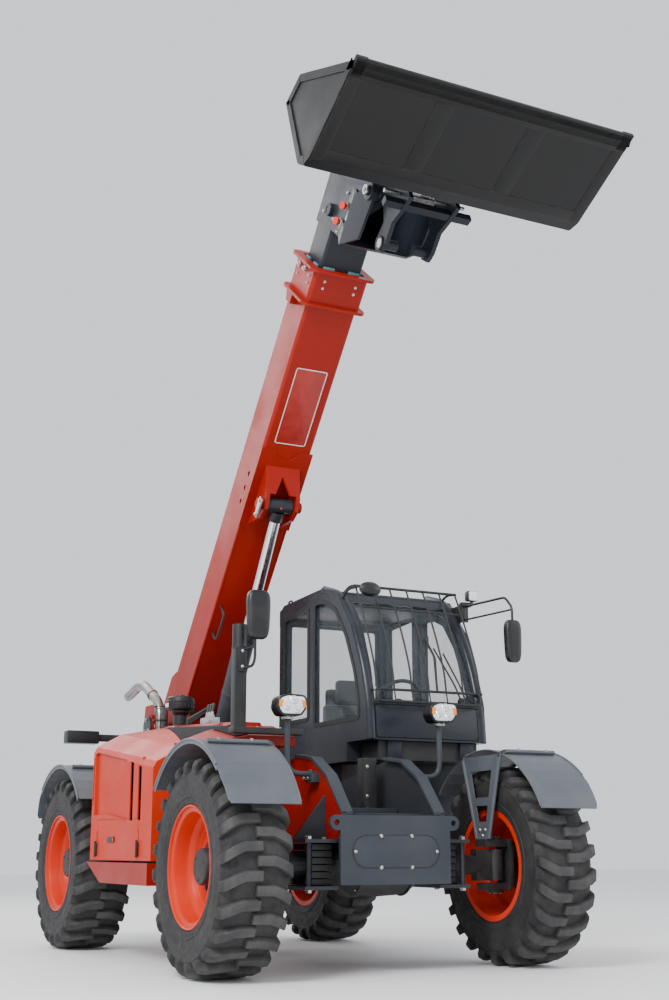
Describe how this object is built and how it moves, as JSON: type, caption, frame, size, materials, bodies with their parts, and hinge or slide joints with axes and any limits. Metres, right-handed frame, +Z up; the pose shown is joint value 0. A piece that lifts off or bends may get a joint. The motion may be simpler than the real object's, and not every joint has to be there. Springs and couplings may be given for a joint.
{
  "type": "telescopic handler",
  "caption": "Compact telescopic handler with a raised box-section boom, loader bucket, side cab, steered wheels and an opening engine hood.",
  "frame": {"origin": "on the ground under the middle of the overall length, on the machine's centre plane", "axes": "+X forward to the bucket, +Y to the cab side, +Z up"},
  "size_m": [5.0557, 2.428, 5.1712],
  "materials": {
    "tyre_rubber": "matt, dusty tread",
    "rim_paint": "satin paint",
    "red_paint": "satin paint",
    "grey_paint": "satin paint",
    "dark_cast": "matt paint",
    "black_plastic": "matt",
    "fender_plastic": "matt",
    "chrome": "polished",
    "bucket_steel": "worn satin paint",
    "exhaust_steel": "satin",
    "glass": "clear, slightly tinted",
    "seat_cloth": "woven"
  },
  "bodies": {
    "chassis": {"cab_glazing": "glass", "cab_mount": "dark_cast", "cab_shell": "grey_paint", "chassis_frame": "red_paint", "counterweight": "dark_cast", "driveline": "dark_cast", "engine_bay": "red_paint", "engine_block": "dark_cast", "exhaust": "exhaust_steel", "front_arm_trim": "grey_paint", "front_axle": "dark_cast", "front_plate": "grey_paint", "fuel_tank": "black_plastic", "headlamps": "black_plastic", "lamp_stalks": "black_plastic", "left_mirror": "black_plastic", "pre_cleaner": "black_plastic", "rear_axle": "dark_cast", "rear_lamp_box": "black_plastic", "right_mirror": "black_plastic", "screen_guard": "black_plastic", "seat": "seat_cloth", "side_sill": "red_paint", "steering_console": "black_plastic"},
    "hood": {"engine_hood": "red_paint"},
    "door": {"cab_door": "grey_paint", "door_glass": "glass"},
    "boom": {"outer_boom": "red_paint", "boom_collar": "red_paint"},
    "telescope": {"inner_boom": "grey_paint"},
    "bucket_carrier": {"carriage": "grey_paint", "bucket": "bucket_steel"},
    "lift_barrel": {"lift_barrel": "grey_paint"},
    "lift_rod": {"lift_rod": "chrome"},
    "front_right_steer": {"front_right_knuckle": "dark_cast", "front_right_fender": "fender_plastic"},
    "front_right_wheel": {"front_right_tyre": "tyre_rubber", "front_right_rim": "rim_paint"},
    "front_left_steer": {"front_left_knuckle": "dark_cast", "front_left_fender": "fender_plastic"},
    "front_left_wheel": {"front_left_tyre": "tyre_rubber", "front_left_rim": "rim_paint"},
    "rear_right_steer": {"rear_right_knuckle": "dark_cast", "rear_right_fender": "fender_plastic"},
    "rear_right_wheel": {"rear_right_tyre": "tyre_rubber", "rear_right_rim": "rim_paint"},
    "rear_left_steer": {"rear_left_knuckle": "dark_cast", "rear_left_fender": "fender_plastic"},
    "rear_left_wheel": {"rear_left_tyre": "tyre_rubber", "rear_left_rim": "rim_paint"}
  },
  "joints": [
    {"name": "boom_lift", "type": "hinge", "parent": "chassis", "child": "boom", "pos_m": [-2.158, 0, 1.618], "axis": [0, -1, 0], "range_deg": [-51.3, 12.7]},
    {"name": "boom_extend", "type": "slide", "parent": "boom", "child": "telescope", "axis": [0.6521, 0, 0.7581], "range_m": [0, 2.6]},
    {"name": "bucket_tilt", "type": "hinge", "parent": "telescope", "child": "bucket_carrier", "pos_m": [1.39191, 0, 4.6717], "axis": [0, 1, 0], "range_deg": [-52, 90]},
    {"name": "lift_barrel_swing", "type": "hinge", "parent": "chassis", "child": "lift_barrel", "pos_m": [-1.838, 0, 1.01], "axis": [0, -1, 0], "range_deg": [-48.91, 12.48]},
    {"name": "lift_rod_slide", "type": "slide", "parent": "lift_barrel", "child": "lift_rod", "axis": [0.5458, 0, 0.8379], "range_m": [-0.5988, 0.152]},
    {"name": "hood_lid", "type": "hinge", "parent": "chassis", "child": "hood", "pos_m": [-0.378, -0.64, 1.47462], "axis": [-0.9983, 0, 0.0576], "range_deg": [0, 62]},
    {"name": "cab_door_hinge", "type": "hinge", "parent": "chassis", "child": "door", "pos_m": [-0.398, 1.163, 1.5], "axis": [0, 0, 1], "range_deg": [0, 90]},
    {"name": "front_right_steering", "type": "hinge", "parent": "chassis", "child": "front_right_steer", "pos_m": [0.952, -0.83, 0.588], "axis": [0, 0, 1], "range_deg": [-30, 30]},
    {"name": "front_right_wheel_spin", "type": "hinge", "parent": "front_right_steer", "child": "front_right_wheel", "pos_m": [0.952, -0.98, 0.588], "axis": [0, 1, 0], "continuous": true},
    {"name": "front_left_steering", "type": "hinge", "parent": "chassis", "child": "front_left_steer", "pos_m": [0.952, 0.83, 0.588], "axis": [0, 0, 1], "range_deg": [-30, 30]},
    {"name": "front_left_wheel_spin", "type": "hinge", "parent": "front_left_steer", "child": "front_left_wheel", "pos_m": [0.952, 0.98, 0.588], "axis": [0, 1, 0], "continuous": true},
    {"name": "rear_right_steering", "type": "hinge", "parent": "chassis", "child": "rear_right_steer", "pos_m": [-1.708, -0.83, 0.588], "axis": [0, 0, 1], "range_deg": [-30, 30]},
    {"name": "rear_right_wheel_spin", "type": "hinge", "parent": "rear_right_steer", "child": "rear_right_wheel", "pos_m": [-1.708, -0.98, 0.588], "axis": [0, 1, 0], "continuous": true},
    {"name": "rear_left_steering", "type": "hinge", "parent": "chassis", "child": "rear_left_steer", "pos_m": [-1.708, 0.83, 0.588], "axis": [0, 0, 1], "range_deg": [-30, 30]},
    {"name": "rear_left_wheel_spin", "type": "hinge", "parent": "rear_left_steer", "child": "rear_left_wheel", "pos_m": [-1.708, 0.98, 0.588], "axis": [0, 1, 0], "continuous": true}
  ],
  "couplings": [
    {"joint": "lift_barrel_swing", "follows": "boom_lift", "ratio": 0.94363},
    {"joint": "lift_rod_slide", "follows": "boom_lift", "m_per_rad": 0.66317},
    {"joint": "front_left_steering", "follows": "front_right_steering", "ratio": 1},
    {"joint": "rear_left_steering", "follows": "rear_right_steering", "ratio": 1}
  ]
}
